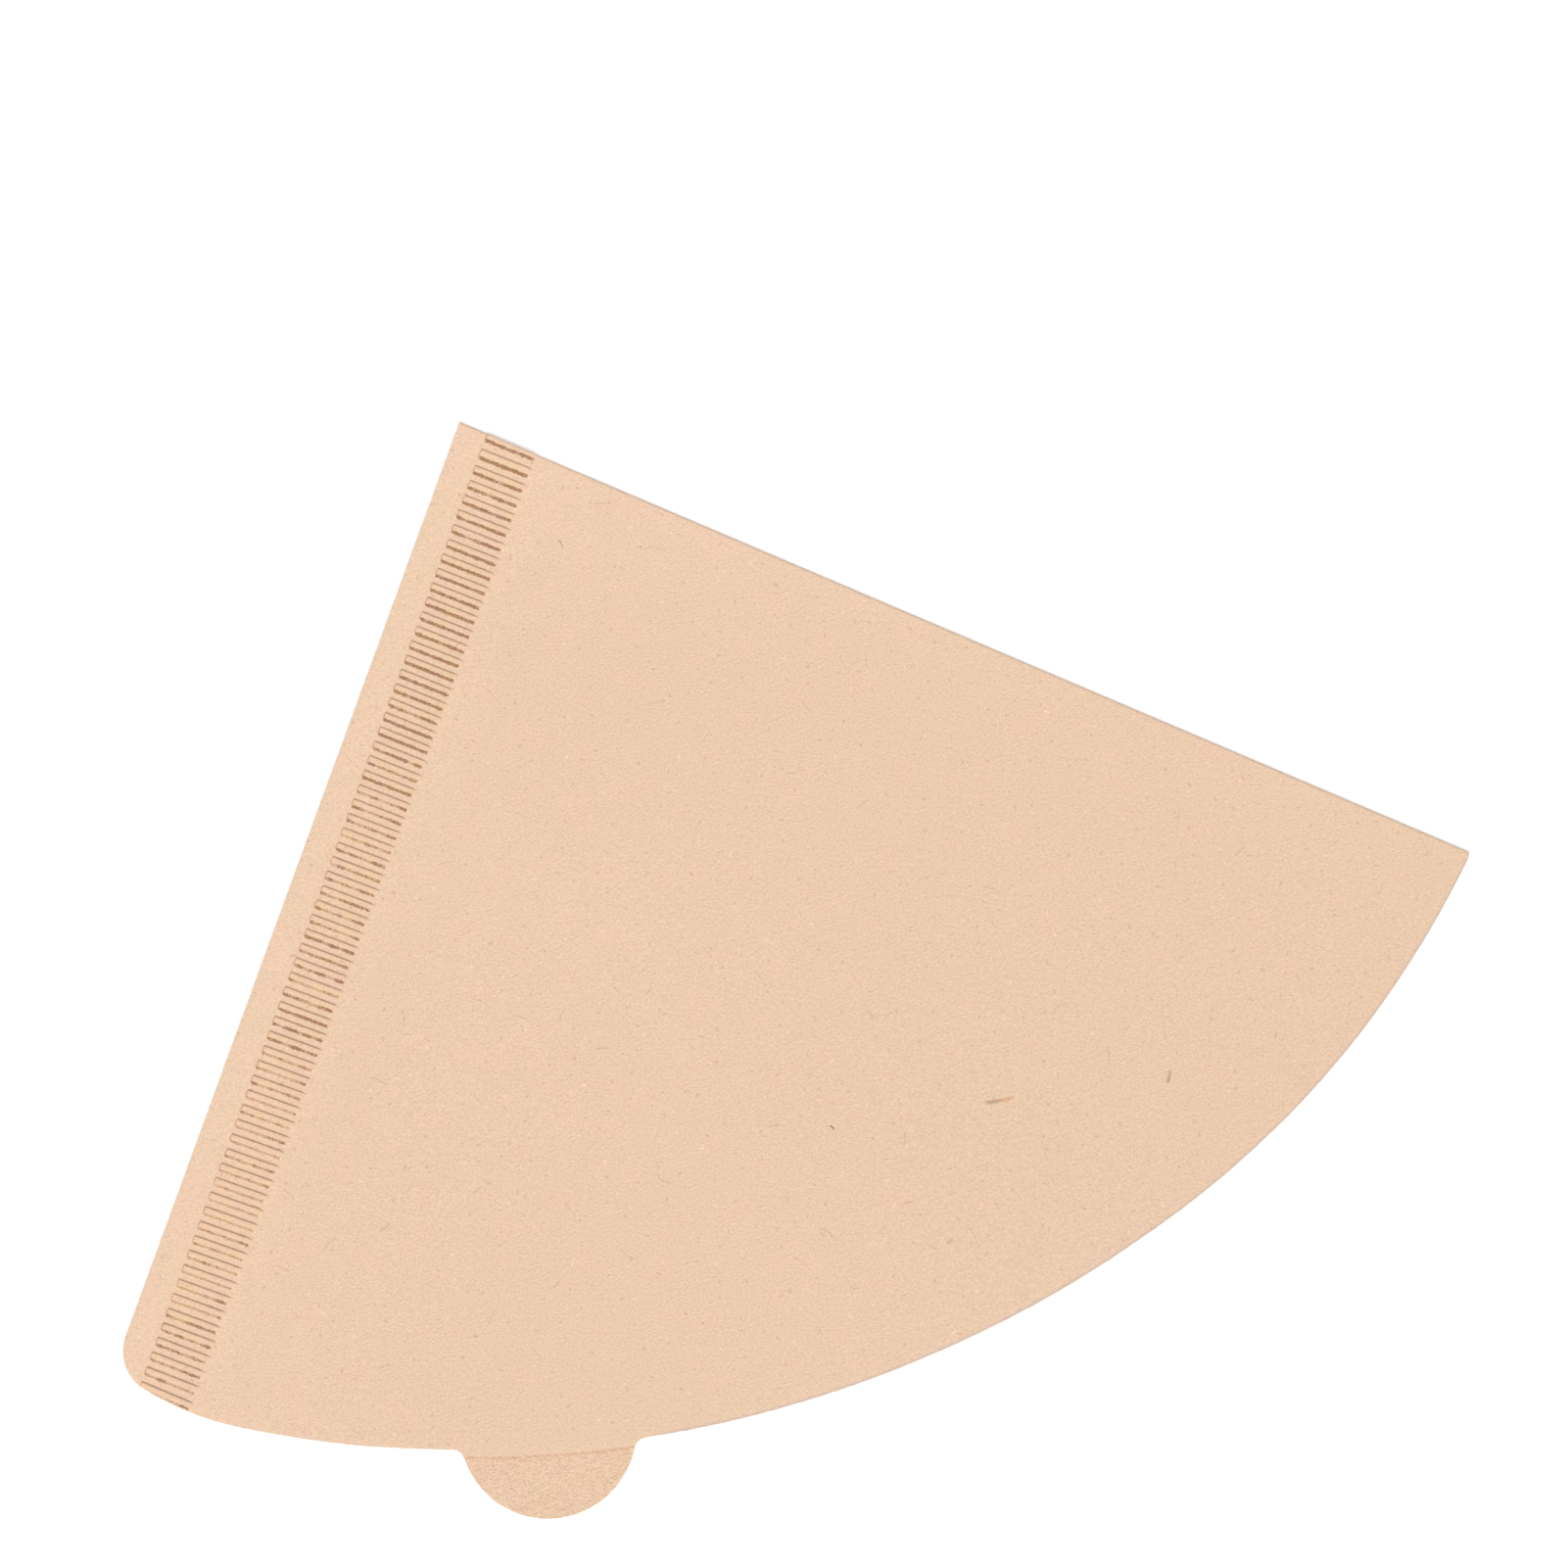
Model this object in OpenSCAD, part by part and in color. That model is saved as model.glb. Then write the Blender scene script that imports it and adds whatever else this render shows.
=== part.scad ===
// Cone coffee filter of thin paper, folded flat.
// One sheet is folded in half along a straight fold and crimped shut along the opposite edge.
// The mouth is cut as an arc, and the back ply carries a small round tab for opening the pocket.
// The filter lies on its back ply, with +Z up. +Y runs along the middle of the cone, to its point.
// The origin is on the underside, on that middle line, halfway from the cone's point to the mouth.

/* [Paper] */
// Thickness of one ply
paper_t = 0.22; // [0.14:0.01:0.4]
// Air between the two plies where they lie on each other
ply_gap = 0.16; // [0.1:0.01:0.5]

/* [Cone] */
// Angle at the point, between the seam edge and the fold
point_angle = 86.1; // [75:0.1:92]
// Slant length of the cone, from its inner point to the mouth
slant = 108.7; // [80:0.1:140]
// Radius of the cut along the mouth
mouth_r = 124.5; // [110:0.5:170]

/* [Seam] */
// Plain margin between the seam edge and the ribs
seam_margin = 3.5; // [2:0.1:6]
// Plain strip between the ribs and the pocket
seam_land = 0.5; // [0.3:0.1:2]
// Length of a rib, across the seam
rib_len = 5.7; // [3:0.1:9]
// Width of a rib, along the seam
rib_w = 0.85; // [0.5:0.05:1.2]
// Distance from one rib to the next
rib_pitch = 1.705; // [1.4:0.005:3]
// How far a rib is pressed up out of the sheet
rib_rise = 0.3; // [0.1:0.01:0.4]
// Distance along the seam edge from the point to the lower wall of the first rib
rib_start = 1.7; // [1.2:0.05:6]

/* [Corners] */
// Radius of the corner where the seam edge meets the mouth
seam_corner_r = 4.6; // [1:0.1:8]
// Radius of the flatter curve that leads from the mouth into that corner
heel_r = 36; // [15:1:80]
// Distance of that curve's start from the seam edge
heel_w = 16; // [10:0.5:25]
// Radius of the corner where the fold meets the mouth
fold_corner_r = 0.5; // [0.5:0.1:5]

/* [Tab] */
// Radius of the tab's round end
tab_r = 9.6; // [5:0.1:15]
// How far the tab reaches past the mouth
tab_reach = 7.7; // [3:0.1:12]
// Distance of the tab's middle from the seam edge, along the mouth
tab_place = 49; // [35:0.5:100]
// Radius of the inside corners at the tab's neck
neck_r = 1.5; // [0.5:0.1:4]
// How far the front ply reaches past the mouth, across the tab's neck
lip_reach = 0.75; // [0.3:0.05:2]

/* [Hidden] */
$fn = 96;
full_t = 2 * paper_t + ply_gap;
// Half the thickness is the outer radius of the bend along the fold
bend_r = full_t / 2;
seam_w = seam_margin + rib_len + seam_land;
// A length longer than the sheet, for cutting shapes that run past it
span = 2 * mouth_r;
// Clear strip kept between the bend and the first rib
bend_clear = 0.05;
// The last rib keeps at least this width where the mouth cuts it off
rib_rest = 0.25;
// Rounding circles run this far past the lines they touch, so that outlines cross at a clear angle
overrun = 0.02;

// The outline is drawn with the point at (0, 0), the seam edge along -Y and the fold to the right
fold_dir = [sin(point_angle), -cos(point_angle)];
fold_in = [-cos(point_angle), -sin(point_angle)];
mid_dir = [sin(point_angle / 2), -cos(point_angle / 2)];
// The cone's own point lies on the fold, at the inner side of the seam
cone_point = [seam_w, -seam_w / tan(point_angle)];
mouth_c = cone_point - (mouth_r - slant) * mid_dir;

// The heel curve touches the mouth's cut inside at heel_w from the seam edge
heel_turn = asin((heel_w - mouth_c.x) / mouth_r);
heel_dir = [sin(heel_turn), -cos(heel_turn)];
heel_c = mouth_c + (mouth_r - heel_r) * heel_dir;

// Height of the heel curve at a distance x from the seam edge
function heel_y(x) = heel_c.y - sqrt(heel_r ^ 2 - (x - heel_c.x) ^ 2);

// The seam corner's circle touches the seam edge and the heel curve
seam_corner_c = [
    seam_corner_r,
    heel_c.y - sqrt((heel_r - seam_corner_r) ^ 2 - (seam_corner_r - heel_c.x) ^ 2)
];
seam_corner_dir = (seam_corner_c - heel_c) / norm(seam_corner_c - heel_c);

// The fold corner's circle touches the fold and the mouth's cut
fold_along = fold_dir * mouth_c;
fold_off = fold_corner_r - fold_in * mouth_c;
fold_corner_s = fold_along + sqrt((mouth_r - fold_corner_r) ^ 2 - fold_off ^ 2);
fold_corner_c = fold_corner_s * fold_dir + fold_corner_r * fold_in;
fold_corner_dir = (fold_corner_c - mouth_c) / (mouth_r - fold_corner_r);

// Directions from the mouth's centre to the tab, and the neck circles on each side of it
seam_turn = asin(-mouth_c.x / mouth_r);
tab_turn = seam_turn + tab_place / mouth_r * 180 / PI;
tab_c_r = mouth_r + tab_reach - tab_r;
neck_c_r = mouth_r + neck_r - overrun;
neck_gap = tab_r + neck_r - overrun;
neck_turn = acos((tab_c_r ^ 2 + neck_c_r ^ 2 - neck_gap ^ 2) / (2 * tab_c_r * neck_c_r));

// A point at a radius and a turn about the mouth's centre, counted from the seam's direction
function around(r, turn) = mouth_c + r * [sin(turn), -cos(turn)];

// Ribs fit between the point and the mouth
rib_count = 1 + floor((-heel_y(seam_margin) - rib_rest - rib_start + rib_w) / rib_pitch);

// Places what is drawn with X along the fold, with the sheet on its -Y side
module along_fold() {
    rotate([0, 0, point_angle - 90]) children();
}

// Material outside the rounded corner at the seam
module seam_corner_waste() {
    difference() {
        polygon([
            seam_corner_c,
            seam_corner_c - [2 * seam_corner_r, 0],
            seam_corner_c - [2 * seam_corner_r, 3 * seam_corner_r],
            seam_corner_c + 3 * seam_corner_r * seam_corner_dir
        ]);
        translate(seam_corner_c) circle(r = seam_corner_r + overrun);
    }
}

// Material outside the heel curve, between the mouth's cut and the seam corner
module heel_waste() {
    difference() {
        polygon([
            heel_c,
            heel_c + 2 * heel_r * heel_dir,
            heel_c - [heel_w + heel_r, 2 * heel_r],
            heel_c - [heel_w + heel_r, 0]
        ]);
        translate(heel_c) circle(r = heel_r + overrun);
    }
}

// Material outside the rounded corner at the fold
module fold_corner_waste() {
    difference() {
        polygon([
            fold_corner_c,
            fold_corner_c - 3 * fold_corner_r * fold_in,
            fold_corner_c + 3 * fold_corner_r * (fold_corner_dir - fold_in),
            fold_corner_c + 3 * fold_corner_r * fold_corner_dir
        ]);
        translate(fold_corner_c) circle(r = fold_corner_r + overrun);
    }
}

// Plan of both plies without the tab
module sheet_plan() {
    difference() {
        intersection() {
            polygon([
                [0, 0],
                [0, -span],
                span * fold_dir - [0, span],
                span * fold_dir
            ]);
            translate(mouth_c) circle(r = mouth_r, $fn = 360);
        }
        heel_waste();
        seam_corner_waste();
        fold_corner_waste();
    }
}

// Plan of the round tab with its filleted neck, rooted well inside the mouth
module tab_plan() {
    translate(around(tab_c_r, tab_turn)) circle(r = tab_r);
    difference() {
        polygon([
            around(tab_c_r - tab_r, tab_turn),
            around(neck_c_r, tab_turn - neck_turn),
            around(tab_c_r, tab_turn),
            around(neck_c_r, tab_turn + neck_turn)
        ]);
        for (side = [-1, 1])
            translate(around(neck_c_r, tab_turn + side * neck_turn)) circle(r = neck_r);
    }
}

// The folded sheet as one block, with the round bend along the fold
module folded_block() {
    intersection() {
        linear_extrude(height = full_t) sheet_plan();
        along_fold() {
            translate([-span, -span - bend_r, 0]) cube([3 * span, span, full_t]);
            translate([-1, -bend_r, bend_r]) rotate([0, 90, 0]) cylinder(r = bend_r, h = span);
        }
    }
}

// The pocket between the plies, closed by the seam and the bend and open at the mouth
module pocket() {
    intersection() {
        translate([seam_w, -2 * span, 0]) cube([2 * span, 3 * span, full_t]);
        along_fold() {
            translate([-span, -span - bend_r, paper_t]) cube([3 * span, span, ply_gap]);
            translate([-1, -bend_r, bend_r]) rotate([0, 90, 0])
                cylinder(r = ply_gap / 2, h = 2 * span);
        }
    }
}

// The tab on the back ply, and the low lip that the same cut leaves on the front ply
module tab() {
    linear_extrude(height = paper_t) tab_plan();
    translate([0, 0, full_t - paper_t]) linear_extrude(height = paper_t)
        intersection() {
            tab_plan();
            translate(mouth_c) circle(r = mouth_r + lip_reach, $fn = 360);
        }
}

// The row of ribs from z to z + h, cut off by the bend at one end and by the mouth at the other
module rib_row(z, h) {
    translate([0, 0, z]) linear_extrude(height = h) intersection() {
        for (i = [0 : rib_count - 1])
            translate([seam_margin, -rib_start - i * rib_pitch]) square([rib_len, rib_w]);
        sheet_plan();
        along_fold() translate([-span, -span - bend_r - bend_clear]) square([3 * span, span]);
    }
}

// The whole filter, drawn with its point at the origin
module filter_sheet() {
    difference() {
        union() {
            difference() {
                folded_block();
                pocket();
            }
            tab();
            rib_row(rib_rise, full_t);
        }
        // Each rib leaves a hollow of its own size in the underside
        rib_row(-1, 1 + rib_rise);
    }
}

module filter() {
    color([0.90, 0.77, 0.64])
        translate([0, slant / 2, 0])
        rotate([0, 0, -point_angle / 2])
        translate([-cone_point.x, -cone_point.y, 0])
        filter_sheet();
}

filter();
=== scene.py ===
import bpy
import math
import random
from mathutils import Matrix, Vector, noise
from mathutils.geometry import delaunay_2d_cdt


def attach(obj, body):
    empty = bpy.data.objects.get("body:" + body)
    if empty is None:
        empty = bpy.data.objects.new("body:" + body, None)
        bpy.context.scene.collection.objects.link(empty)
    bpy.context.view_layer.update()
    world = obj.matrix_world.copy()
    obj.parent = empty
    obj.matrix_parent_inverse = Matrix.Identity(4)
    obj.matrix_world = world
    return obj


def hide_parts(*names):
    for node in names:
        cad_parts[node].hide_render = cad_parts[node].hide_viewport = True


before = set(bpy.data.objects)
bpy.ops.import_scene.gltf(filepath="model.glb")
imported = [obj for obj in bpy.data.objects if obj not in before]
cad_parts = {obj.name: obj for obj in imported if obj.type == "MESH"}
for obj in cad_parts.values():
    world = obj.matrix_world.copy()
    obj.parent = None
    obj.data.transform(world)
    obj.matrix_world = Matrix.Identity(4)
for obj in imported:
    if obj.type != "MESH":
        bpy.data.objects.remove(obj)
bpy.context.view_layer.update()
random.seed(7)

# Sizes of the folded sheet in millimetres, as in the part's source
PAPER = 0.22
GAP = 0.16
POINT_ANGLE = math.radians(86.1)
SLANT = 108.7
MOUTH_R = 124.5
SEAM_MARGIN = 3.5
SEAM_LAND = 0.5
RIB_LEN = 5.7
RIB_W = 0.85
RIB_PITCH = 1.705
RIB_RISE = 0.3
RIB_START = 1.7
SEAM_CORNER_R = 4.6
HEEL_R = 36
HEEL_W = 16
TAB_R = 9.6
TAB_REACH = 7.7
TAB_PLACE = 49
NECK_R = 1.5
LIP_REACH = 0.75

# The mouth's cut wanders from a true arc: turn about its centre in degrees, and millimetres outward
MOUTH_WANDER = [
    (7.7, 0.0), (13, -0.05), (17, -0.25), (31, -0.3), (36, -0.36), (43, -0.38), (49, -0.26),
    (55, -0.14), (60, 0.07), (66, 0.12), (70, 0.0), (73, -0.18), (76, -0.4), (79, -0.65), (84, -1.05),
]
# The ribs drift from even spacing: millimetres down the seam, at their left and right ends
RIB_DRIFT = [
    (1.7, -0.47, -0.28), (3.4, -0.1, 0.05), (4.3, -0.03, 0.12), (9.4, 0.13, 0.28), (14.5, 0.25, 0.4),
    (24.7, 0.3, 0.46), (35, 0.26, 0.45), (45, 0.22, 0.33), (65.6, 0.08, 0.14), (76, 0.17, 0.18),
    (86, 0.17, 0.16), (96, 0.05, 0.04), (107, -0.09, -0.02), (110, -0.07, 0.05), (111.7, -0.04, 0.21),
]
DRIFT_LEFT = [(along, left) for along, left, right in RIB_DRIFT]
DRIFT_RIGHT = [(along, right) for along, left, right in RIB_DRIFT]
# Distances of those two ends from the seam edge
DRIFT_ENDS = (4.4, 8.6)
# The ribs' near sides are torn most near the point, and again at the last few.
# Each row is a distance down the seam, and how much less torn they are there.
TORN_LESS = [(35, 0.0), (40, 0.6), (70, 0.6), (76, 1.05), (100, 1.05), (104, 0.5), (112, 0.65)]

# The pressed ribs reach this far left of their drawn places, and lie this much nearer the point
RIB_LEFT = 0.17
RIB_BACK = 0.1
# The torn band lies this far inside a rib's near side
TORN_IN = 0.04
# Air between the plies' meshes where the seam presses them together
TOUCH = 0.01
# Half the width of a rib's crisp far side and of its torn near side
FAR_HALF = 0.05
TORN_HALF = 0.13
# The line along the far side, painted shade over a shallow groove, is this wide on each side of its
# middle, and pressed this far into the sheet
LINE_HALF = 0.1
LINE_DEPTH = 0.04
# The real corner at the fold is sharper than the solid's
CORNER_R = 0.2
# The back ply shows past the front ply by this much at the heel
PLY_SHIFT = 0.1
# The painted shadow on the tab, a dark line below the lip: its strength, its place and half its width
LIP_SHADE = 0.68
LIP_SHADE_AT = 0.2
LIP_SHADE_HALF = 0.1
# The torn sides are rough by this much
TORN_ROUGH = 0.06
# The cut edges wander by this much
RAGGED = 0.018
# The blade leaves the cut edges thinner by this much, over this width
PINCH = 0.03
PINCH_W = 0.34
# A row of points this far from the fold keeps its rounding from shading the flat face
CREASE_W = 0.12

# The sheet's four faces, from the table up
UNDERSIDE, POCKET_FLOOR, POCKET_ROOF, TOP = range(4)
POCKET = (POCKET_FLOOR, POCKET_ROOF)

# Distances between the mesh's points: along the ribs on the top and elsewhere, over the sheet and the tab
FINE_STEP = 0.13
PLAIN_STEP = 0.7
SHEET_STEP = 1.6
TAB_STEP = 1.5
# Strips that the mesh has round the bend's outside and round its inside
OUTER_STRIPS = 10
INNER_STRIPS = 4


def between(table, at):
    """The value at a place in a table of (place, value) rows, straight between its rows."""
    for (a, first), (b, second) in zip(table, table[1:]):
        if at <= b:
            return first + (second - first) * max(0.0, (at - a) / (b - a))
    return table[-1][1]


def toward(turn):
    """Direction at a turn counted from -Y towards +X."""
    return Vector((math.sin(turn), -math.cos(turn)))


def turn_of(d):
    """The turn of a direction, counted as in toward()."""
    return math.atan2(d.x, -d.y)


def smooth(a, b, x):
    """Smooth step from 0 at a to 1 at b."""
    t = min(1.0, max(0.0, (x - a) / (b - a)))
    return t * t * (3 - 2 * t)


def wobble(a, b, c):
    """Smooth noise about 0 at a place in the noise pattern."""
    return noise.noise(Vector((a, b, c)))


def mouth_radius(turn):
    """Distance of the mouth's cut from its centre."""
    return MOUTH_R + between(MOUTH_WANDER, math.degrees(turn))


# Places worked out from the sizes, with the point at (0, 0) and the seam edge along -Y
BEND_R = (2 * PAPER + GAP) / 2
SEAM_W = SEAM_MARGIN + RIB_LEN + SEAM_LAND
RIBS_FROM = SEAM_MARGIN - RIB_LEFT
RIBS_END = SEAM_MARGIN + RIB_LEN
FOLD_DIR = Vector((math.sin(POINT_ANGLE), -math.cos(POINT_ANGLE)))
FOLD_IN = Vector((-math.cos(POINT_ANGLE), -math.sin(POINT_ANGLE)))
MID_DIR = Vector((math.sin(POINT_ANGLE / 2), -math.cos(POINT_ANGLE / 2)))
CONE_POINT = Vector((SEAM_W, -SEAM_W / math.tan(POINT_ANGLE)))
MOUTH_C = CONE_POINT - (MOUTH_R - SLANT) * MID_DIR

HEEL_TURN = math.asin((HEEL_W - MOUTH_C.x) / MOUTH_R)
HEEL_C = MOUTH_C + (MOUTH_R - HEEL_R) * toward(HEEL_TURN)
SEAM_CORNER_C = Vector((
    SEAM_CORNER_R,
    HEEL_C.y - math.sqrt((HEEL_R - SEAM_CORNER_R) ** 2 - (SEAM_CORNER_R - HEEL_C.x) ** 2),
))
FOLD_END_R = MOUTH_R + between(MOUTH_WANDER, 82.5)
FOLD_CORNER_S = FOLD_DIR.dot(MOUTH_C) + math.sqrt(
    (FOLD_END_R - CORNER_R) ** 2 - (CORNER_R - FOLD_IN.dot(MOUTH_C)) ** 2
)
FOLD_CORNER_C = FOLD_CORNER_S * FOLD_DIR + CORNER_R * FOLD_IN
# Depth below the fold at which that corner runs into the mouth's cut
CORNER_DEPTH = CORNER_R * (1 + (FOLD_CORNER_C - MOUTH_C).normalized().dot(FOLD_IN))
TAB_TURN = math.asin(-MOUTH_C.x / MOUTH_R) + TAB_PLACE / MOUTH_R
TAB_ROOT_R = mouth_radius(TAB_TURN)
TAB_C_R = TAB_ROOT_R + TAB_REACH - TAB_R
NECK_C_R = TAB_ROOT_R + NECK_R
NECK_TURN = math.acos(
    (TAB_C_R**2 + NECK_C_R**2 - (TAB_R + NECK_R) ** 2) / (2 * TAB_C_R * NECK_C_R)
)
TAB_C = MOUTH_C + TAB_C_R * toward(TAB_TURN)


def arc(centre, radius, start, end, step):
    """Points along an arc from one turn to another, without the last one."""
    count = max(2, round(abs(end - start) * radius / step))
    return [centre + radius * toward(start + (end - start) * i / count) for i in range(count)]


def straight(a, b, step):
    """Points along a line, without the last one."""
    count = max(1, round((b - a).length / step))
    return [a.lerp(b, i / count) for i in range(count)]


def mouth_arc(start, end):
    """Points along the mouth's cut from one turn to another, without the last one."""
    count = round((end - start) * MOUTH_R / 0.35)
    turns = [start + (end - start) * i / count for i in range(count)]
    return [MOUTH_C + mouth_radius(t) * toward(t) for t in turns]


def fold_end(depth):
    """How far along the fold the sheet reaches, at a depth below the fold."""
    if depth < CORNER_DEPTH:
        return FOLD_CORNER_S + math.sqrt(CORNER_R**2 - (CORNER_R - depth) ** 2)
    aside = depth - FOLD_IN.dot(MOUTH_C)
    return FOLD_DIR.dot(MOUTH_C) + math.sqrt(FOLD_END_R**2 - aside**2)


def fold_point(share, depth):
    """Point at a share of the fold's length and a depth below it."""
    start = depth / math.tan(POINT_ANGLE)
    return FOLD_DIR * (start + share * (fold_end(depth) - start)) + FOLD_IN * depth


def fold_shares():
    """Shares of the fold's length, close together where the first rib meets it."""
    length = fold_end(BEND_R)
    near = [i * 0.15 for i in range(round(SEAM_W / 0.15))]
    far = [SEAM_W + i * 0.8 for i in range(round((length - SEAM_W) / 0.8))]
    return [s / length for s in near + far] + [1.0]


SHARES = fold_shares()


def ragged(points, size):
    """Moves each point a little, as the cut edge of fibrous paper runs."""
    moves = [Vector((random.uniform(-size, size), random.uniform(-size, size))) for p in points]
    return [p + move for p, move in zip(points, moves)]


def seam_side(shift):
    """Outline from the point down the seam edge, round its corner and along the heel."""
    corner_turn = turn_of(SEAM_CORNER_C - HEEL_C)
    out = straight(fold_point(0, BEND_R), Vector((0, SEAM_CORNER_C.y)), 0.35)[1:]
    corner = arc(SEAM_CORNER_C, SEAM_CORNER_R, -math.pi / 2, corner_turn, 0.2)
    heel = arc(HEEL_C, HEEL_R, corner_turn, HEEL_TURN, 0.3)
    for p in corner + heel:
        share = smooth(0, SEAM_CORNER_R, p.x) * smooth(HEEL_W, HEEL_W * 0.6, p.x)
        out.append(p + shift * share * (p - HEEL_C).normalized())
    return out


def neck_arc(side, far_end):
    """The curve at one side of the tab's neck, from the mouth's cut to far_end."""
    centre = MOUTH_C + NECK_C_R * toward(TAB_TURN + side * NECK_TURN)
    root = TAB_TURN + side * (NECK_TURN - math.pi)
    if far_end == "tab":
        top = turn_of(TAB_C - centre)
        return arc(centre, NECK_R, root, top, 0.15)
    reach = TAB_ROOT_R + LIP_REACH
    steps = [centre + NECK_R * toward(root + side * 0.02 * i) for i in range(120)]
    return [p for p in steps if (p - MOUTH_C).length < reach][::6]


def tab_side():
    """Outline of the tab with its neck, on the back ply."""
    left = neck_arc(-1, "tab")
    right = neck_arc(1, "tab")
    left_c = MOUTH_C + NECK_C_R * toward(TAB_TURN - NECK_TURN)
    right_c = MOUTH_C + NECK_C_R * toward(TAB_TURN + NECK_TURN)
    round_end = arc(TAB_C, TAB_R, turn_of(left_c - TAB_C), turn_of(right_c - TAB_C), 0.25)
    return left + round_end + [TAB_C + TAB_R * toward(turn_of(right_c - TAB_C))] + right[:0:-1]


def lip_side():
    """Outline of the front ply's lip, where the same neck is cut off across."""
    left = neck_arc(-1, "lip")
    right = neck_arc(1, "lip")
    start, end = turn_of(left[-1] - MOUTH_C), turn_of(right[-1] - MOUTH_C)
    return left + arc(MOUTH_C, TAB_ROOT_R + LIP_REACH, start, end, 0.25)[1:] + right[::-1]


def outline(front):
    """Free edge of one ply, from the point round the mouth to the bend along the fold."""
    out = seam_side(0 if front else PLY_SHIFT)
    out += mouth_arc(HEEL_TURN, TAB_TURN - NECK_TURN)
    out += lip_side() if front else tab_side()
    out += mouth_arc(TAB_TURN + NECK_TURN, turn_of(fold_point(1, BEND_R) - MOUTH_C))
    return ragged(out, RAGGED)


def rib_drift(along, x):
    """How far the ribs lie from even spacing at a distance along the seam."""
    share = (x - DRIFT_ENDS[0]) / (DRIFT_ENDS[1] - DRIFT_ENDS[0])
    left = between(DRIFT_LEFT, along)
    return left + (between(DRIFT_RIGHT, along) - left) * share - RIB_BACK


def even_distance(x, y):
    """Distance along the seam as if the ribs were evenly spaced."""
    along = -y
    for _ in range(3):
        along = -y - rib_drift(along, x)
    return along


def torn_strength(x, rib):
    """How torn a rib's near side is along its length: patchy, and less towards the mouth."""
    patch = wobble(x / 0.9, rib * 3.7, 0.3)
    whole = wobble(0.7, rib * 2.3, 5.1)
    ends = smooth(0.9, 0.0, x - RIBS_FROM) + smooth(1.3, 0.2, RIBS_END - x)
    less = between(TORN_LESS, rib * RIB_PITCH + RIB_START)
    return 0.5 + 0.5 * smooth(-0.45, 0.45, 0.42 - less + 0.9 * patch + 0.5 * whole + 0.35 * ends)


def left_end(x):
    """Smooth step at the ribs' crisp left ends."""
    return smooth(RIBS_FROM - 0.07, RIBS_FROM + 0.06, x)


def rib_lift(x, v, near, fray):
    """How far a rib is raised, from 0 to 1, at a distance v past its far side."""
    right = 1 - smooth(RIBS_END - 0.35, RIBS_END + 0.45, x)
    lift = left_end(x) * right * smooth(-FAR_HALF, FAR_HALF, v)
    return lift * (1 - smooth(near - TORN_HALF + fray, near + TORN_HALF + fray, v))


def rib_line(x, end_x, rib, v, near):
    """The painted shade line along a rib's far side and across its left end; on the top face it also
    presses a shallow groove.
    """
    right = 1 - smooth(RIBS_END - 0.2, RIBS_END + 0.5, x)
    line = left_end(end_x) * right * math.exp(-((v / LINE_HALF) ** 2))
    line *= 0.8 + 0.4 * wobble(x / 0.8, rib * 4.1, 7.7)
    side = math.exp(-(((end_x - RIBS_FROM + 0.03) / LINE_HALF) ** 2))
    side = 0.5 * side * smooth(-0.05, 0.1, v) * (1 - smooth(near - 0.15, near + 0.05, v))
    return max(line, side)


def rib_torn(x, v, near, fray):
    """Where a rib's near side is torn, from 0 to 1."""
    torn = smooth(near - 0.25 + fray, near - 0.08 + fray, v)
    torn *= 1 - smooth(near + 0.08 - fray, near + 0.23 - fray, v)
    torn *= smooth(RIBS_FROM - 0.02, RIBS_FROM + 0.12, x)
    return torn * (1 - smooth(RIBS_END - 0.15, RIBS_END + 0.15, x))


def rib_field(x, y):
    """The ribs at a place: their lift, the painted shade line round their far side, and how torn they
    are.
    """
    if not RIBS_FROM - 0.3 < x < RIBS_END + 0.7:
        return 0.0, 0.0, 0.0
    along = even_distance(x, y) - (RIB_START - RIB_W)
    rib = math.floor((along + 0.3) / RIB_PITCH)
    if rib < 0:
        return 0.0, 0.0, 0.0
    v = along - rib * RIB_PITCH
    near = RIB_W - TORN_IN + 0.03 * wobble(x * 1.9, rib * 7.3, 0.5)
    fray = 0.06 * wobble(x * 5.5, rib * 3.1, 4.5)
    end_x = x + 0.08 * wobble(rib * 5.7, 2.2, 9.1)
    lift = rib_lift(end_x, v, near, fray)
    line = rib_line(x, end_x, rib, v, near)
    torn = rib_torn(end_x, v, near, fray) * torn_strength(x, rib)
    return lift, line, torn


def swell(x, y):
    """Height of the air between the plies, which is nothing at the seam and little at the fold."""
    from_fold = Vector((x, y)).dot(FOLD_IN) - BEND_R
    drift = 0.75 + 0.5 * wobble(x / 34, y / 34, 2)
    return GAP * drift * smooth(SEAM_W, SEAM_W + 9, x) * smooth(-2, 7, from_fold)


def lie(x, y):
    """Height of the back ply above the table, which it meets in many places."""
    wave = wobble(x / 41, y / 41, 8)
    return 0.06 * max(0.0, wave) * smooth(SEAM_W, SEAM_W + 12, x)


def lip_shade(x, y):
    """The soft painted shadow on the tab just below the front ply's lip."""
    below = (Vector((x, y)) - MOUTH_C).length - TAB_ROOT_R - LIP_REACH
    return LIP_SHADE * math.exp(-(((below - LIP_SHADE_AT) / LIP_SHADE_HALF) ** 2))


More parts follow.
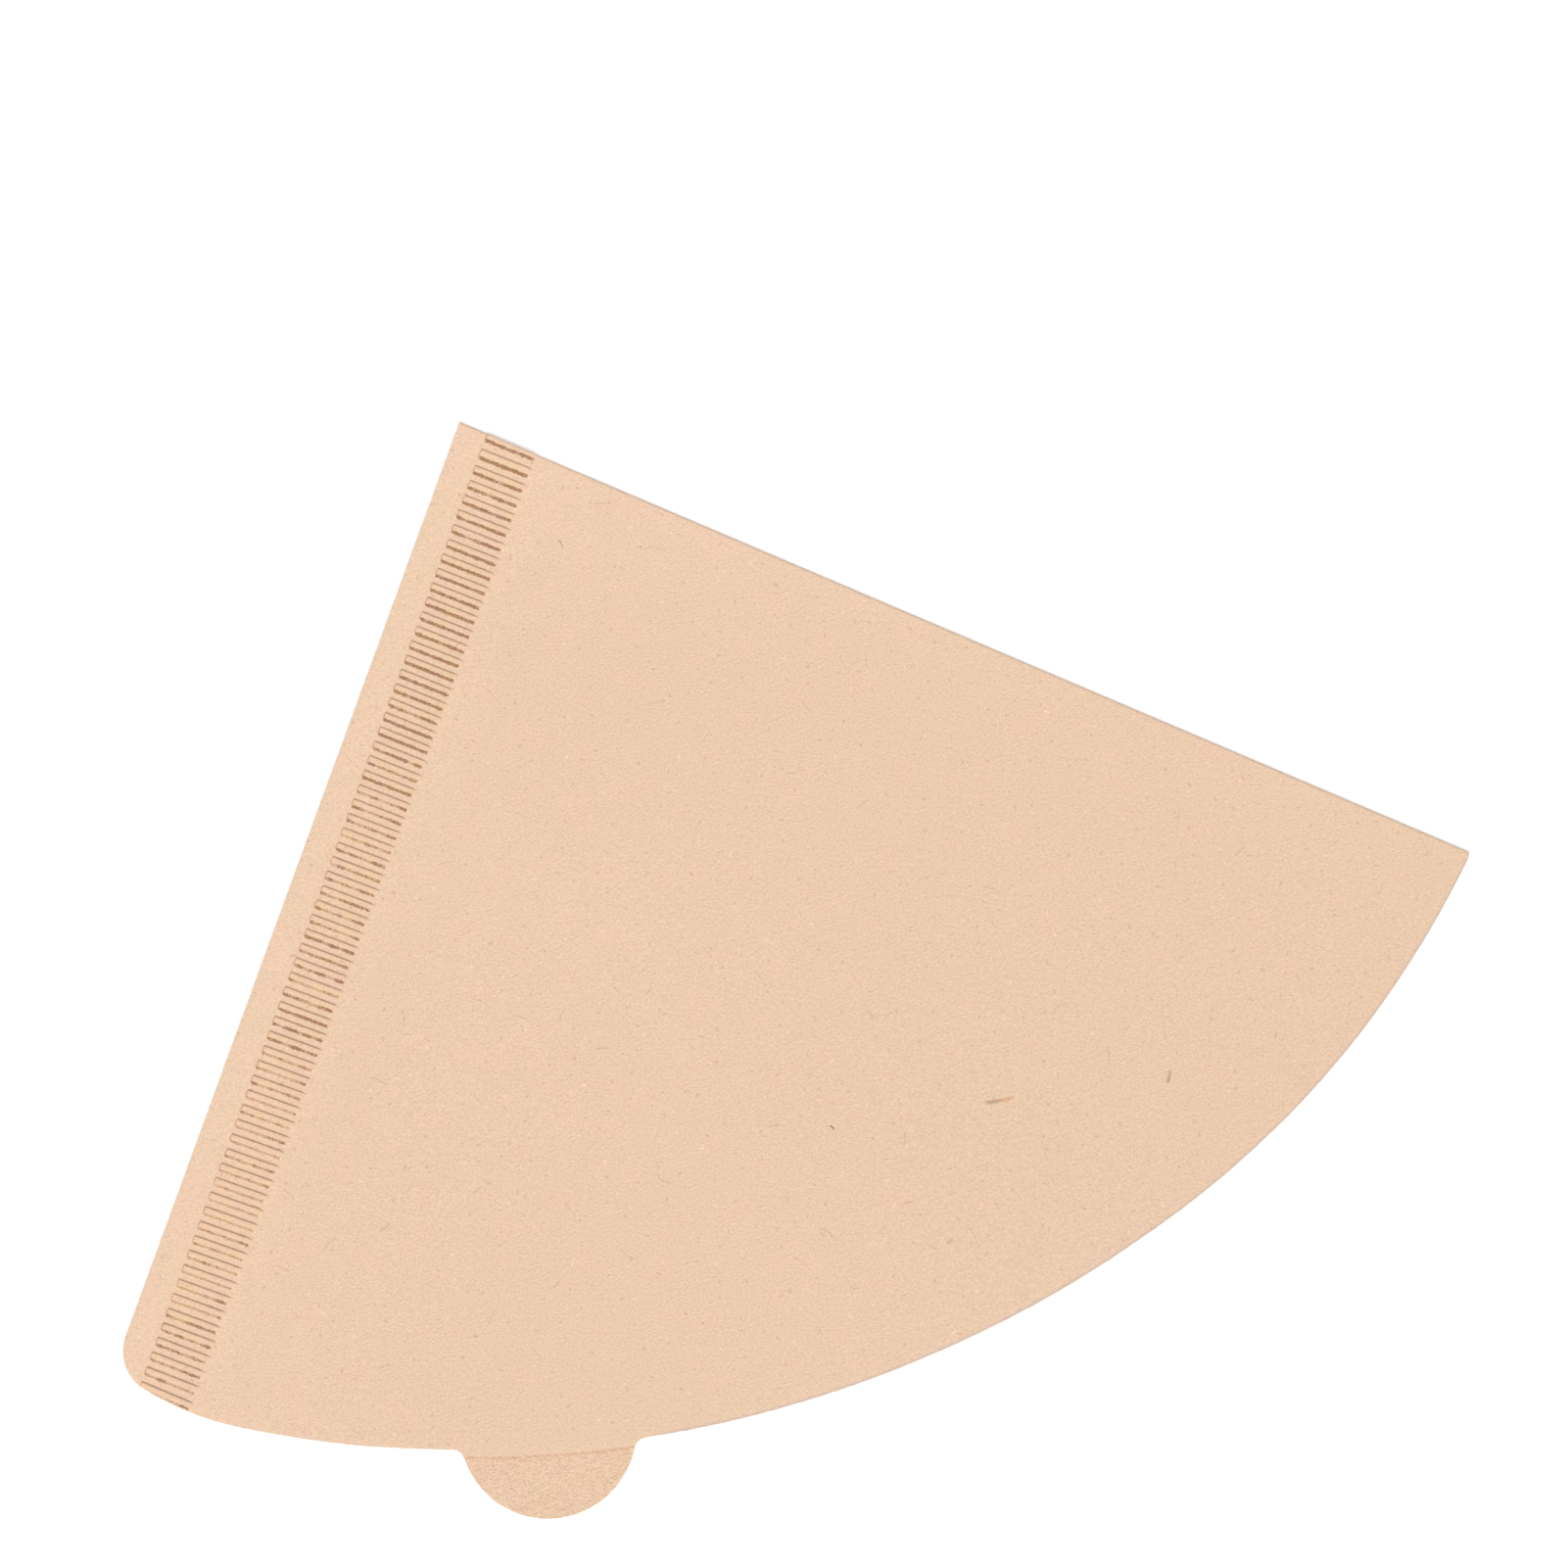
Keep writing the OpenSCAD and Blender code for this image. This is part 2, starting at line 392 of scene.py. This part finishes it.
def face_place(level, x, y):
    """Height, painted shade line, tear and lift at a place on one of the four faces."""
    lift, line, torn = rib_field(x, y)
    z = lie(x, y) + lift * RIB_RISE
    if level == UNDERSIDE:
        return z, 0.0, torn, lift
    if level == POCKET_FLOOR:
        # The pocket floor carries the painted shadow below the lip
        return z + PAPER, lip_shade(x, y), 0.0, 0.0
    if level == POCKET_ROOF:
        z += PAPER + TOUCH + swell(x, y)
        return z, 0.0, 0.0, 0.0
    z += 2 * PAPER + TOUCH + swell(x, y) - line * LINE_DEPTH
    z += torn * TORN_ROUGH * wobble(x * 9, y * 14, 1)
    return z, line, torn, lift


def inside(p, room):
    """True for a point inside the front ply's main curves by at least this room."""
    if p.x < room or p.dot(FOLD_IN) < BEND_R + room:
        return False
    if p.x < SEAM_CORNER_R and p.y < SEAM_CORNER_C.y:
        return (p - SEAM_CORNER_C).length < SEAM_CORNER_R - room
    if p.x < HEEL_W and p.y < HEEL_C.y and (p - HEEL_C).length > HEEL_R - room:
        return False
    d = p - MOUTH_C
    return d.length < mouth_radius(turn_of(d)) - room


# Distances past a rib's far side of the rows of points, on the top face and on the others
FINE_ROWS = [-0.17, -0.1, -0.04, 0.02, 0.08, 0.16, 0.4]
FINE_ROWS += [RIB_W + d for d in (-0.26, -0.16, -0.06, 0.04, 0.14, 0.24)]
PLAIN_ROWS = [-0.1, 0.0, 0.08, RIB_W - 0.15, RIB_W, RIB_W + 0.15]


def columns(step):
    """Distances from the seam edge for the ribs' points, close together at the left ends."""
    left = [RIBS_FROM + d for d in (-0.2, -0.12, -0.07, -0.02, 0.03, 0.09, 0.18)]
    right = [RIBS_END + d for d in (-0.3, -0.15, 0.0, 0.15, 0.3, 0.5)]
    count = round((right[0] - left[-1]) / step)
    middle = [left[-1] + (right[0] - left[-1]) * i / count for i in range(1, count)]
    return left + middle + right


def rib_rows(step, offsets):
    """Lines across the seam that follow the ribs' sides, as runs of points inside the sheet."""
    rows = []
    places = columns(step)
    for rib in range(math.ceil(SLANT / RIB_PITCH) + 3):
        for offset in offsets:
            even = RIB_START - RIB_W + rib * RIB_PITCH + offset
            row = [Vector((x, -even - rib_drift(even, x))) for x in places]
            run = [p for p in row if inside(p, 0.06)]
            if run:
                rows.append(run)
    return rows


def scattered(step):
    """Points spread over the sheet a little unevenly, clear of the ribs."""
    out = []
    for i in range(round(FOLD_CORNER_S / step) + 1):
        for j in range(round(MOUTH_R / step) + 1):
            jitter = Vector((random.uniform(-0.3, 0.3), random.uniform(-0.3, 0.3)))
            p = (Vector((i, -j)) + jitter) * step
            if inside(p, 0.45) and not RIBS_FROM - 0.5 < p.x < RIBS_END + 0.8:
                out.append(p)
    return out


def tab_points(step):
    """Points spread over the tab."""
    out = []
    for i in range(-8, 9):
        for j in range(-8, 9):
            p = TAB_C + Vector((i, j)) * step
            beyond = (p - MOUTH_C).length > TAB_ROOT_R
            if beyond and (p - TAB_C).length < TAB_R - 0.5:
                out.append(p)
    return out


def lip_rows():
    """Lines across the tab that follow the front ply's lip and hold the painted shadow below it."""
    rows = []
    half = math.asin(TAB_R / TAB_ROOT_R)
    for below in (0.04, 0.12, 0.2, 0.28, 0.4):
        row = arc(MOUTH_C, TAB_ROOT_R + LIP_REACH + below, TAB_TURN - half, TAB_TURN + half, 0.5)
        rows.append([p for p in row if (p - TAB_C).length < TAB_R - 0.1])
    return rows


def edge_shade_amount(p):
    """How much painted shade a cut edge gets: only the mouth between the tab and the fold gets it."""
    return smooth(0.0, 0.03, turn_of(p - MOUTH_C) - TAB_TURN - NECK_TURN)


def inner_ring(edge):
    """Points just inside a free edge, where the blade's pinch ends."""
    out = []
    for before, p, after in zip(edge, edge[1:], edge[2:]):
        d = (after - before).normalized()
        out.append(p + PINCH_W * Vector((-d.y, d.x)))
    return out


class Sheet:
    """The paper's mesh while it is put together, in millimetres."""

    def __init__(self):
        self.points = []
        self.faces = []
        self.marks = {"line": [], "torn": [], "raised": [], "edge": [], "inner": []}

    def point(self, p, z, line=0.0, torn=0.0, raised=0.0, edge=0.0, inner=0.0):
        self.points.append((p.x, p.y, z))
        for values, value in zip(self.marks.values(), (line, torn, raised, edge, inner)):
            values.append(value)
        return len(self.points) - 1

    def face(self, level, edge, fold, rows, loose):
        """Fills an outline with triangles, and returns its points along the edge and the fold."""
        flat = edge + fold[::-1]
        loop = list(range(len(flat)))
        lines = []
        for row in rows:
            lines += [(len(flat) + i, len(flat) + i + 1) for i in range(len(row) - 1)]
            flat = flat + row
        flat = flat + loose
        verts, _, triangles, origins, _, _ = delaunay_2d_cdt(flat, lines, [loop], 1, 1e-5)
        start = len(self.points)
        place = {}
        for i, p in enumerate(verts):
            free = any(o < len(edge) for o in origins[i])
            z, line, torn, raised = face_place(level, p.x, p.y)
            if free:
                z += {UNDERSIDE: PINCH, TOP: -PINCH}.get(level, 0)
            # Free points on the mouth between the tab and the fold get painted shade
            grey = edge_shade_amount(p) if free else 0.0
            self.point(p, z, line, torn, raised, grey, float(level in POCKET))
            place.update({o: start + i for o in origins[i]})
        for triangle in triangles:
            corners = triangle if level in (POCKET_FLOOR, TOP) else triangle[::-1]
            self.faces.append(tuple(start + i for i in corners))
        ring = [place[i] for i in loop]
        return ring[: len(edge)], ring[len(edge):][::-1]

    def wall(self, first, second):
        """Closes the space between two rows of points."""
        for a, b, c, d in zip(first, second, second[1:], first[1:]):
            self.faces.append((a, b, c, d))

    def bend(self, upper, lower, bulge, steps, outward):
        """Rounds the sheet over along the fold, and returns the rows of points used."""
        rows = [upper]
        for k in range(1, steps):
            a = math.pi * k / steps
            row = []
            for share, top, bottom in zip(SHARES, upper, lower):
                high, low = self.points[top][2], self.points[bottom][2]
                z = (high + low) / 2 + (high - low) / 2 * math.cos(a)
                row.append(self.point(fold_point(share, BEND_R - bulge * math.sin(a)), z))
            rows.append(row)
        rows.append(lower)
        for first, second in zip(rows, rows[1:]):
            if outward:
                self.wall(second, first)
            else:
                self.wall(first, second)
        return rows


def build_sheet():
    """One folded sheet: two plies, the bend between them, the pocket and the cut edges."""
    sheet = Sheet()
    fold = [fold_point(share, BEND_R) for share in SHARES]
    crease = [fold_point(share, BEND_R + CREASE_W) for share in SHARES[1:-1]]
    rings = {}
    for front in (True, False):
        edge = outline(front)
        loose = scattered(SHEET_STEP) + inner_ring(edge) + ([] if front else tab_points(TAB_STEP))
        for level in (TOP, POCKET_ROOF) if front else (UNDERSIDE, POCKET_FLOOR):
            fine = level == TOP
            rows = rib_rows(FINE_STEP, FINE_ROWS) if fine else rib_rows(PLAIN_STEP, PLAIN_ROWS)
            rows += [] if level in POCKET else [crease]
            rows += lip_rows() if level == POCKET_FLOOR else []
            rings[level] = sheet.face(level, edge, fold, rows, loose)
    ends = {level: [bent[0]] + free + [bent[-1]] for level, (free, bent) in rings.items()}
    folds = {level: bent for level, (free, bent) in rings.items()}
    outer = sheet.bend(folds[TOP], folds[UNDERSIDE], BEND_R, OUTER_STRIPS, True)
    inner = sheet.bend(folds[POCKET_ROOF], folds[POCKET_FLOOR], GAP / 2, INNER_STRIPS, False)
    sheet.wall(ends[TOP], ends[POCKET_ROOF])
    sheet.wall(ends[POCKET_FLOOR], ends[UNDERSIDE])
    for end in (0, -1):
        ring = [row[end] for row in outer] + [row[end] for row in inner[::-1]]
        sheet.faces.append(tuple(ring[::-1] if end else ring))
    return sheet


def row_place(x, y):
    """From the outline's drawing to the part's frame, both in millimetres."""
    a = -POINT_ANGLE / 2
    dx, dy = x - CONE_POINT.x, y - CONE_POINT.y
    return dx * math.cos(a) - dy * math.sin(a), dx * math.sin(a) + dy * math.cos(a) + SLANT / 2


def make_filter(material):
    """The visible filter."""
    sheet = build_sheet()
    mesh = bpy.data.meshes.new("folded_sheet")
    places = [(*row_place(x, y), z) for x, y, z in sheet.points]
    mesh.from_pydata([[c / 1000 for c in place] for place in places], [], sheet.faces)
    for name, values in sheet.marks.items():
        mesh.attributes.new(name, "FLOAT", "POINT").data.foreach_set("value", values)
    mesh.shade_smooth()
    mesh.set_sharp_from_angle(angle=math.radians(50))
    mesh.materials.append(material)
    piece = bpy.data.objects.new("folded_sheet", mesh)
    bpy.context.collection.objects.link(piece)
    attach(piece, "root")
    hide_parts("filter")


class Shader:
    """Nodes of a material or of the world, with short ways to add and join them."""

    def __init__(self, owner):
        owner.use_nodes = True
        self.owner = owner
        self.tree = owner.node_tree
        self.surface = self.tree.nodes.get("Principled BSDF")

    def add(self, kind, **settings):
        node = self.tree.nodes.new(kind)
        for key, value in settings.items():
            setattr(node, key, value)
        return node

    def feed(self, socket, value):
        """Joins a socket to another one, or sets it to a plain value."""
        if isinstance(value, bpy.types.NodeSocket):
            self.tree.links.new(value, socket)
        else:
            socket.default_value = value

    def fill(self, node, values):
        """Feeds a node's sockets in their order."""
        for socket, value in zip(node.inputs, values):
            self.feed(socket, value)
        return node

    def math(self, operation, *values):
        return self.fill(self.add("ShaderNodeMath", operation=operation), values).outputs[0]

    def vector(self, operation, *values):
        return self.fill(self.add("ShaderNodeVectorMath", operation=operation), values).outputs[0]

    def noise(self, place, scale, detail, rough=0.5):
        node = self.add("ShaderNodeTexNoise")
        self.feed(node.inputs["Vector"], place)
        node.inputs["Scale"].default_value = scale
        node.inputs["Detail"].default_value = detail
        node.inputs["Roughness"].default_value = rough
        return node.outputs["Fac"]

    def step(self, value, start, end):
        """Smooth step from 0 at start to 1 at end."""
        node = self.add("ShaderNodeMapRange", interpolation_type="SMOOTHSTEP")
        return self.fill(node, (value, start, end, 0.0, 1.0)).outputs[0]

    def mix(self, amount, first, second):
        node = self.add("ShaderNodeMix", data_type="RGBA")
        self.feed(node.inputs[0], amount)
        self.feed(node.inputs[6], first)
        self.feed(node.inputs[7], second)
        return node.outputs[2]

    def scale(self, colour, factor):
        """Makes a colour lighter or darker by a factor."""
        return self.vector("SCALE", colour, (0, 0, 0), (0, 0, 0), factor)

    def split(self, vector):
        """The three parts of a vector."""
        node = self.add("ShaderNodeSeparateXYZ")
        self.feed(node.inputs[0], vector)
        return node.outputs

    def turned(self, vector, angle):
        """A vector turned about Z."""
        node = self.add("ShaderNodeVectorRotate", rotation_type="Z_AXIS")
        self.feed(node.inputs["Vector"], vector)
        self.feed(node.inputs["Angle"], angle)
        return node.outputs[0]

    def value(self, name):
        """One of the numbers that the sheet's points carry."""
        return self.add("ShaderNodeAttribute", attribute_name=name).outputs["Fac"]

    def seen(self):
        """1 for what the camera, a reflection or glass shows, and 0 for light on the object."""
        path = self.add("ShaderNodeLightPath").outputs
        shown = self.math("MAXIMUM", path["Is Camera Ray"], path["Is Glossy Ray"])
        return self.math("MAXIMUM", shown, path["Is Transmission Ray"])


# Fibres in the paper: size of a cell, a fibre's length and width, the share of cells that hold one, and
# the place in the pattern
PALE_FIBRES = (1.5, 1.2, 0.16, 0.6, 3.1)
DARK_FIBRES = (2.0, 1.3, 0.18, 0.55, 11.7)
LONG_FIBRES = (7.0, 2.2, 0.2, 0.3, 23.3)
SPECKS = (2.4, 0.42, 0.36, 0.6, 31.9)
GLINTS = (2.9, 0.5, 0.32, 0.5, 47.3)

# Colours of the paper, and the factors that its grain multiplies them by
PAPER_TINTS = ((0.829, 0.598, 0.421, 1), (0.836, 0.594, 0.434, 1))
GRAIN_TINTS = ((0.835, 0.825, 0.8, 1), (1.165, 1.175, 1.2, 1))
INNER_TINTS = ((0.9, 0.88, 0.83, 1), (1.135, 1.13, 1.14, 1))
# Factors that tint the raised ribs a little warmer
RAISED_TINTS = ((1.03, 1.0, 0.93, 1), (1.03, 0.975, 0.965, 1))
FIBRE_BROWN = (0.66, 0.4, 0.24, 1)
SPECK_BROWN = (0.62, 0.38, 0.25, 1)
# Grey of the painted shade along the mouth's cut edge
EDGE_SHADE_GREY = (0.5, 0.45, 0.44, 1)
# Brown of the painted shade along the ribs' far sides and left ends
LINE_SHADE_BROWN = (0.32, 0.21, 0.14, 1)
STAIN_TINTS = ((0.6, 0.37, 0.2, 1), (0.56, 0.35, 0.24, 1))
TORN_TINTS = ((0.46, 0.24, 0.115, 1), (0.44, 0.22, 0.13, 1))
PLAIN = (1, 1, 1, 1)

# How much each of these lightens the sheet where it is strongest, and a minus sign darkens it
PLAIN_TONE = 0.999
CLOUD_TONE = 0.04
WIDE_TONE = 0.03
SEAM_TONE = 0.02
# Painted light: the next lightens the band along the fold, offsetting the shading of the sheet's slope
# there
FOLD_PAINTED_LIGHT = 0.023
PALE_TONE = 0.02
DARK_TONE = -0.03
LONG_TONE = -0.05
GLINT_TONE = 0.12
# The same for each millimetre from the seam edge
AWAY_TONE = -0.0003

# How much of its brown or grey each of these takes on where it is strongest
LONG_SHARE = 0.46
SPECK_SHARE = 0.54
EDGE_SHADE_SHARE = 0.35
LINE_SHADE_SHARE = 0.5
STAIN_SHARE = 0.58
SLIVER_SHARE = 0.85

# Marks in the front ply: both ends, the widths there, how far the mark bows, colour and strength
FLAWS = [
    ((14.85, -8.9), (15.6, -9.7), (0.2, 0.14), 0.12, (0.5, 0.29, 0.18, 1), 0.6),
    ((23.5, -6.55), (23.75, -6.65), (0.25, 0.25), 0.0, (0.5, 0.33, 0.22, 1), 0.6),
    ((64.7, -60.15), (65.25, -60.4), (0.2, 0.14), 0.06, (0.16, 0.08, 0.04, 1), 0.85),
    ((97.75, -42.0), (97.9, -43.45), (0.2, 0.42), 0.08, (0.44, 0.22, 0.17, 1), 0.62),
    ((37.7, -60.8), (39.0, -60.25), (0.22, 0.12), 0.1, (0.5, 0.33, 0.22, 1), 0.45),
    ((83.5, -40.55), (84.75, -38.7), (0.16, 0.14), 0.25, (0.66, 0.42, 0.27, 1), 0.5),
    ((95.05, -36.7), (96.4, -37.2), (0.14, 0.14), 0.3, (0.66, 0.42, 0.27, 1), 0.5),
    ((49.65, -11.8), (50.9, -10.35), (0.14, 0.12), 0.15, (0.7, 0.45, 0.3, 1), 0.4),
]
# The longest one is brown at one end and orange at the other
SLIVER = ((79.9, -52.1), (82.65, -50.5))
SLIVER_WIDTHS = (0.42, 0.4)
SLIVER_BOW = -0.06
SLIVER_DARK = (0.52, 0.32, 0.23, 1)
SLIVER_LIGHT = (0.74, 0.44, 0.25, 1)


def fibres(shader, place, cell, length, width, share, offset):
    """Scattered short bent fibres, as a mask. Sizes are in millimetres."""
    spot = shader.vector("MULTIPLY_ADD", place, (1 / cell,) * 3, (offset, offset * 0.7, 0))
    warp = shader.add("ShaderNodeTexNoise")
    shader.feed(warp.inputs["Vector"], spot)
    warp.inputs["Scale"].default_value = 1.3
    warp.inputs["Detail"].default_value = 1
    spot = shader.vector("MULTIPLY_ADD", warp.outputs["Color"], (0.55, 0.55, 0), spot)
    cells = shader.add("ShaderNodeTexVoronoi", voronoi_dimensions="2D")
    shader.feed(cells.inputs["Vector"], spot)
    cells.inputs["Scale"].default_value = 1
    local = shader.vector("SUBTRACT", spot, cells.outputs["Position"])
    luck = shader.add("ShaderNodeSeparateColor")
    shader.feed(luck.inputs[0], cells.outputs["Color"])
    parts = shader.split(shader.turned(local, shader.math("MULTIPLY", luck.outputs[0], 2 * math.pi)))
    half = length / cell / 2
    along = shader.step(shader.math("ABSOLUTE", parts[0]), half, half * 0.5)
    across = shader.step(shader.math("ABSOLUTE", parts[1]), width / cell / 2, 0.0)
    kept = shader.math("LESS_THAN", luck.outputs[1], share)
    return shader.math("MULTIPLY", shader.math("MULTIPLY", along, across), kept)


def flaw(shader, place, start, end, widths, bow):
    """One mark in the paper, as a mask, and how far along the mark each place is."""
    a, b = Vector(row_place(*start)), Vector(row_place(*end))
    length = (b - a).length
    local = shader.vector("SUBTRACT", place, (a.x, a.y, 0))
    parts = shader.split(shader.turned(local, -math.atan2((b - a).y, (b - a).x)))
    share = shader.math("DIVIDE", parts[0], length)
    rest = shader.math("SUBTRACT", 1.0, share)
    arch = shader.math("MULTIPLY", shader.math("MULTIPLY", share, rest), 4 * bow)
    across = shader.math("ABSOLUTE", shader.math("SUBTRACT", parts[1], arch))
    half = shader.math("MULTIPLY_ADD", share, (widths[1] - widths[0]) / 2, widths[0] / 2)
    body = shader.step(shader.math("DIVIDE", across, half), 1.3, 0.5)
    ends = shader.math("MULTIPLY", shader.step(share, -0.08, 0.12), shader.step(share, 1.08, 0.85))
    return shader.math("MULTIPLY", body, ends), share


def reach(shader, parts, direction):
    """Distance from the point in a direction of the outline's drawing, in millimetres."""
    start = Vector(row_place(0, 0))
    axis = Vector(row_place(*direction)) - start
    part = shader.math("MULTIPLY_ADD", parts[0], axis.x, -axis.dot(start))
    return shader.math("MULTIPLY_ADD", parts[1], axis.y, part)


def sheet_tone(shader, spread, parts, pale, long):
    """How light the sheet is at a place, about 1, with painted light along the fold."""
    across = reach(shader, parts, (1, 0))
    below = reach(shader, parts, FOLD_IN)
    tone = PLAIN_TONE
    for pattern, strength in (
        (shader.noise(spread, 0.32, 2), CLOUD_TONE),
        (shader.noise(spread, 0.03, 1), WIDE_TONE),
        (across, AWAY_TONE),
        (shader.step(across, SEAM_W + 4, SEAM_W - 5), SEAM_TONE),
        # Painted light along the fold
        (shader.step(below, 15, -1), FOLD_PAINTED_LIGHT),
        (pale, PALE_TONE),
        (fibres(shader, spread, *DARK_FIBRES), DARK_TONE),
        (long, LONG_TONE),
        (fibres(shader, spread, *GLINTS), GLINT_TONE),
    ):
        tone = shader.math("MULTIPLY_ADD", pattern, strength, tone)
    return tone


def paint_edge_shade(shader, colour):
    """Paints shade on the top of the cut edges that carry a mark, standing in for the dark gap between
    the plies there.
    """
    up = shader.split(shader.add("ShaderNodeNewGeometry").outputs["True Normal"])[2]
    edge = shader.math("MULTIPLY", shader.step(shader.value("edge"), 0.0, 0.5), EDGE_SHADE_SHARE)
    edge = shader.math("MULTIPLY", edge, shader.step(up, 0.3, 0.7))
    return shader.mix(edge, colour, EDGE_SHADE_GREY)


def crimped(shader, spread, colour, speckle):
    """Tints the raised ribs, paints shade along their pressed lines, colours their torn sides, and gives
    how torn a place is.
    """
    blotch = shader.step(shader.noise(spread, 0.7, 1), 0.4, 0.6)
    # The raised ribs are tinted a little warmer
    rib_top_tint = shader.mix(shader.value("raised"), PLAIN, shader.mix(blotch, *RAISED_TINTS))
    colour = shader.vector("MULTIPLY", colour, rib_top_tint)
    # Painted shade along the line round each rib's far side and left end
    broken = shader.math("MULTIPLY", speckle, LINE_SHADE_SHARE)
    line_shade = shader.math("MULTIPLY", shader.value("line"), broken)
    colour = shader.mix(line_shade, colour, LINE_SHADE_BROWN)
    torn = shader.value("torn")
    stain = shader.math("MULTIPLY", shader.step(torn, 0.05, 0.5), STAIN_SHARE)
    colour = shader.mix(stain, colour, shader.mix(blotch, *STAIN_TINTS))
    core = shader.math("MULTIPLY_ADD", speckle, 2.2, shader.math("SUBTRACT", torn, 1.1))
    core = shader.math("MULTIPLY", shader.step(core, 0.4, 1.1), shader.step(torn, 0.3, 0.6))
    return shader.mix(core, colour, shader.mix(blotch, *TORN_TINTS)), core


def marked(shader, place, front, colour):
    """Adds the stray marks of the front ply."""
    for start, end, widths, bow, tint, strength in FLAWS:
        mask, _ = flaw(shader, place, start, end, widths, bow)
        mask = shader.math("MULTIPLY", shader.math("MULTIPLY", mask, strength), front)
        colour = shader.mix(mask, colour, tint)
    mask, share = flaw(shader, place, *SLIVER, SLIVER_WIDTHS, SLIVER_BOW)
    tint = shader.mix(shader.step(share, 0.35, 0.65), SLIVER_DARK, SLIVER_LIGHT)
    mask = shader.math("MULTIPLY", shader.math("MULTIPLY", mask, SLIVER_SHARE), front)
    return shader.mix(mask, colour, tint)


def paper_material():
    """Unbleached filter paper: mottled, with fibres, stray marks and torn ribs."""
    shader = Shader(bpy.data.materials.new("filter_paper"))
    point = shader.add("ShaderNodeTexCoord").outputs["Object"]
    place = shader.scale(point, 1000.0)
    parts = shader.split(place)
    # The two plies get different places in the patterns
    front = shader.math("GREATER_THAN", parts[2], PAPER * 1.6)
    side = shader.add("ShaderNodeCombineXYZ")
    shader.feed(side.inputs[0], shader.math("MULTIPLY", front, 300.0))
    spread = shader.vector("ADD", place, side.outputs[0])

    grain = shader.noise(spread, 3.8, 1, 0.6)
    coarse = shader.noise(spread, 1.9, 2, 0.6)
    speckle = shader.noise(spread, 5.5, 1, 0.7)
    inner = shader.value("inner")
    pale = fibres(shader, spread, *PALE_FIBRES)
    long = fibres(shader, spread, *LONG_FIBRES)
    specks = fibres(shader, spread, *SPECKS)

    hue = shader.step(shader.noise(spread, 0.28, 1), 0.3, 0.7)
    colour = shader.mix(hue, *PAPER_TINTS)
    colour = shader.vector("MULTIPLY", colour, shader.mix(grain, *GRAIN_TINTS))
    rough_side = shader.mix(inner, PLAIN, shader.mix(coarse, *INNER_TINTS))
    colour = shader.vector("MULTIPLY", colour, rough_side)
    colour = shader.scale(colour, sheet_tone(shader, spread, parts, pale, long))
    colour = shader.mix(shader.math("MULTIPLY", long, LONG_SHARE), colour, FIBRE_BROWN)
    colour = shader.mix(shader.math("MULTIPLY", specks, SPECK_SHARE), colour, SPECK_BROWN)
    colour = paint_edge_shade(shader, colour)
    colour, torn = crimped(shader, spread, colour, speckle)
    colour = marked(shader, place, front, colour)

    relief = shader.math("MULTIPLY_ADD", pale, 0.1, grain)
    relief = shader.math("MULTIPLY_ADD", long, 0.1, relief)
    relief = shader.math("MULTIPLY_ADD", shader.math("MULTIPLY", inner, coarse), 1.6, relief)
    relief = shader.math("MULTIPLY_ADD", shader.math("MULTIPLY", torn, speckle), 1.5, relief)
    bump = shader.add("ShaderNodeBump")
    bump.inputs["Strength"].default_value = 1
    bump.inputs["Distance"].default_value = 0.0001
    shader.feed(bump.inputs["Height"], relief)

    shader.feed(shader.surface.inputs["Base Color"], colour)
    shader.feed(shader.surface.inputs["Roughness"], shader.math("MULTIPLY_ADD", grain, 0.16, 0.8))
    shader.surface.inputs["Specular IOR Level"].default_value = 0.12
    shader.feed(shader.surface.inputs["Normal"], bump.outputs[0])
    return shader.owner


def make_floor():
    """White table that keeps the filter's shadow."""
    bpy.ops.mesh.primitive_plane_add(size=6, location=(0, 0, -0.00003))
    floor = bpy.context.object
    floor.name = "floor"
    shader = Shader(bpy.data.materials.new("floor_white"))
    shader.surface.inputs["Base Color"].default_value = (0.9, 0.9, 0.9, 1)
    shader.surface.inputs["Roughness"].default_value = 1
    shader.surface.inputs["Specular IOR Level"].default_value = 0
    glow = shader.add("ShaderNodeEmission")
    shader.feed(glow.inputs["Strength"], shader.math("MULTIPLY", shader.seen(), 0.25))
    both = shader.add("ShaderNodeAddShader")
    shader.feed(both.inputs[0], shader.surface.outputs[0])
    shader.feed(both.inputs[1], glow.outputs[0])
    shader.feed(shader.tree.nodes["Material Output"].inputs["Surface"], both.outputs[0])
    floor.data.materials.append(shader.owner)


def make_light():
    """A broad lamp from the near side and above, and even light from all round, seen as white."""
    world = bpy.data.worlds.new("soft_room")
    bpy.context.scene.world = world
    shader = Shader(world)
    room = shader.tree.nodes["Background"]
    room.inputs["Color"].default_value = (1, 1, 1, 1)
    shader.feed(room.inputs["Strength"], shader.math("MULTIPLY_ADD", shader.seen(), 0.45, 0.55))
    lamp = bpy.data.lights.new("window", "SUN")
    lamp.energy = 1.72
    lamp.angle = math.radians(35)
    sun = bpy.data.objects.new("window", lamp)
    sun.rotation_euler = Vector((0.27, 0.6, -1)).to_track_quat("-Z", "Y").to_euler()
    bpy.context.collection.objects.link(sun)


def make_camera():
    """The photograph's view: steeply down on the sheet, from far off."""
    heading = math.radians(23.59)
    elevation = math.radians(82)
    distance = 0.8619
    aim = Vector((0.01006, 0.00993, 0.0006))
    back = Vector((
        -math.sin(heading) * math.cos(elevation),
        -math.cos(heading) * math.cos(elevation),
        math.sin(elevation),
    ))
    data = bpy.data.cameras.new("camera")
    data.lens = 179.887
    data.sensor_width = 36
    camera = bpy.data.objects.new("camera", data)
    camera.location = aim + back * distance
    camera.rotation_mode = "QUATERNION"
    camera.rotation_quaternion = (-back).to_track_quat("-Z", "Y")
    bpy.context.collection.objects.link(camera)
    bpy.context.scene.camera = camera


make_camera()
make_light()
make_floor()
make_filter(paper_material())
bpy.context.scene.view_settings.view_transform = "Standard"
